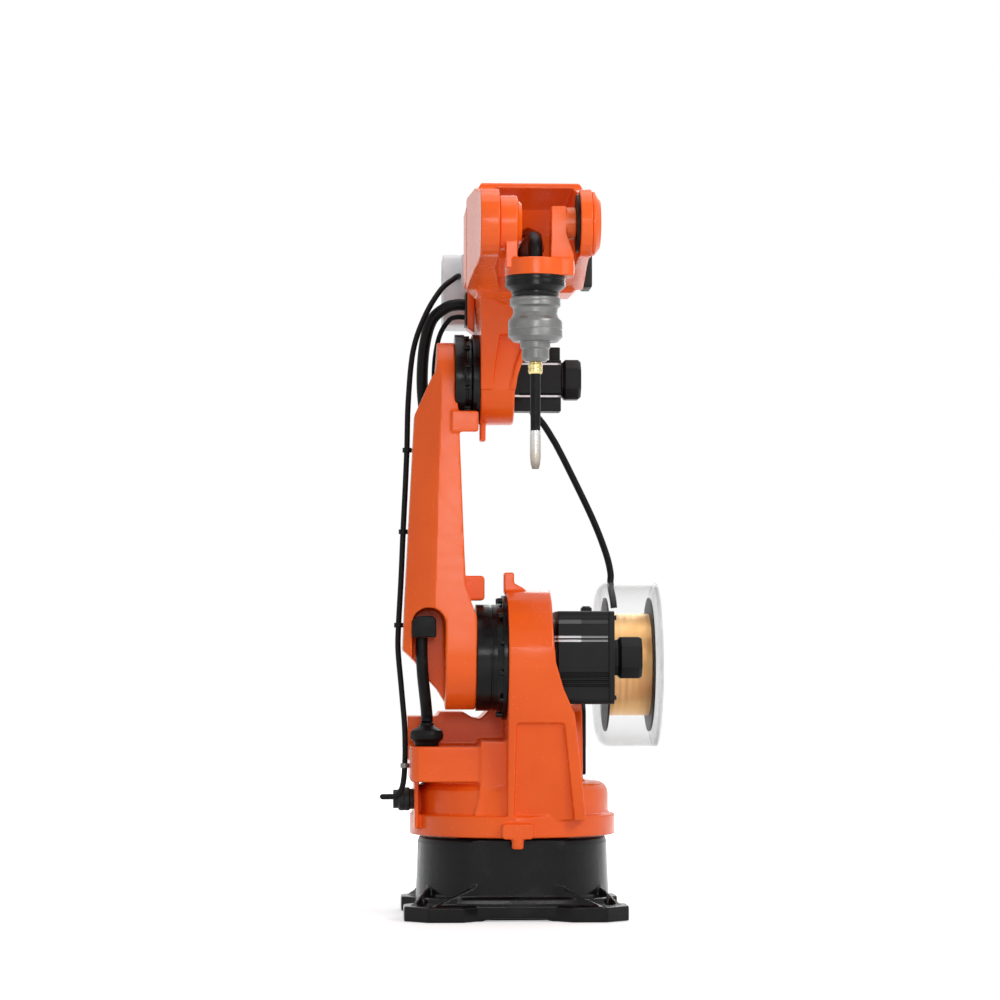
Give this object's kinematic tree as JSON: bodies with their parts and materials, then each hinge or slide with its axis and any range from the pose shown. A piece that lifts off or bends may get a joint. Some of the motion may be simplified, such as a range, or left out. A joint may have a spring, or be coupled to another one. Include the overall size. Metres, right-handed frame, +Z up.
{
  "type": "six axis welding robot arm",
  "caption": "Floor-standing six-axis welding robot arm with a torch, dress leads and a wire spool in a clear drum.",
  "frame": {"origin": "centre of the base's underside, on the waist axis", "axes": "+Z up along the waist axis, the arm reaches forward along -Y, and +X is to the right as one faces the arm from its front"},
  "size_m": [0.6262, 1.361, 1.4945],
  "materials": {
    "orange_paint": "gloss orange enamel on castings",
    "black_casting": "gloss black enamel",
    "black_motor": "satin black coated aluminium",
    "black_plastic": "fine-grained moulded plastic",
    "black_rubber": "satin rubber sheath",
    "grey_metal": "bead-blasted aluminium",
    "brass": "turned brass",
    "bright_nozzle": "nickel-plated copper, lightly heat-tinted",
    "clear_plastic": "clear moulded plastic",
    "copper_wire": "copper-coated welding wire, wound in layers",
    "grey_paint": "light grey powder coat"
  },
  "bodies": {
    "base": {"base_casting": "black_casting"},
    "column": {"column_casting": "orange_paint", "column_socket": "black_plastic", "shoulder_reducer": "black_casting", "shoulder_motor": "black_motor", "shoulder_encoder": "black_motor", "hose_gland": "black_rubber", "spool_bracket": "black_motor", "spool_spindle": "black_plastic", "spool_drum": "clear_plastic", "spool_lid": "clear_plastic", "lead_tie": "grey_metal", "hose_lower": "black_rubber", "dress_lead_lower": "black_rubber", "liner_lower": "black_rubber"},
    "spool": {"spool_frame": "black_plastic", "wire_winding": "copper_wire"},
    "lower_arm": {"lower_arm_casting": "orange_paint", "hose_guide": "black_rubber", "elbow_reducer": "black_casting", "lead_clip_1": "black_rubber", "lead_clip_2": "black_rubber", "lead_clip_3": "black_rubber", "dress_lead_middle": "black_rubber"},
    "elbow": {"elbow_casting": "orange_paint", "elbow_motor": "black_motor", "elbow_encoder": "black_motor", "connector_box": "orange_paint", "connector_plate": "black_plastic", "roll_motor": "black_motor", "wire_feeder": "grey_paint", "hose_upper": "black_rubber", "signal_lead": "black_rubber", "dress_lead_upper": "black_rubber", "liner_upper": "black_rubber"},
    "forearm": {"forearm_casting": "orange_paint", "right_cover": "orange_paint", "bearing_seal": "black_rubber", "forearm_box": "black_plastic", "torch_lead": "black_rubber"},
    "wrist": {"wrist_housing": "orange_paint", "reducer_ring": "black_casting"},
    "torch": {"crash_sensor": "grey_metal", "torch_nut": "brass", "torch_neck": "black_rubber", "torch_nozzle": "bright_nozzle"}
  },
  "joints": [
    {"name": "waist", "type": "hinge", "parent": "base", "child": "column", "pos_m": [0, 0, 0.175], "axis": [0, 0, 1], "range_deg": [-165, 165]},
    {"name": "spool_spin", "type": "hinge", "parent": "column", "child": "spool", "pos_m": [0.275, 0.25, 0.54], "axis": [1, 0, 0], "continuous": true},
    {"name": "shoulder", "type": "hinge", "parent": "column", "child": "lower_arm", "pos_m": [0, -0.15, 0.555], "axis": [1, 0, 0], "range_deg": [-90, 80], "deforming": ["hose_lower", "dress_lead_lower", "liner_lower"]},
    {"name": "elbow", "type": "hinge", "parent": "lower_arm", "child": "elbow", "pos_m": [0, -0.15, 1.1475], "axis": [-1, 0, 0], "range_deg": [-60, 80], "deforming": ["hose_upper", "signal_lead", "dress_lead_upper", "liner_upper"]},
    {"name": "forearm_roll", "type": "hinge", "parent": "elbow", "child": "forearm", "pos_m": [0, -0.345, 1.3915], "axis": [0, -1, 0], "range_deg": [-150, 150]},
    {"name": "wrist_tilt", "type": "hinge", "parent": "forearm", "child": "wrist", "pos_m": [0, -0.86, 1.3915], "axis": [-1, 0, 0], "range_deg": [-20, 200], "deforming": ["torch_lead"]},
    {"name": "flange_turn", "type": "hinge", "parent": "wrist", "child": "torch", "pos_m": [0, -0.86, 1.248], "axis": [0, 0, -1], "range_deg": [-220, 220]}
  ]
}
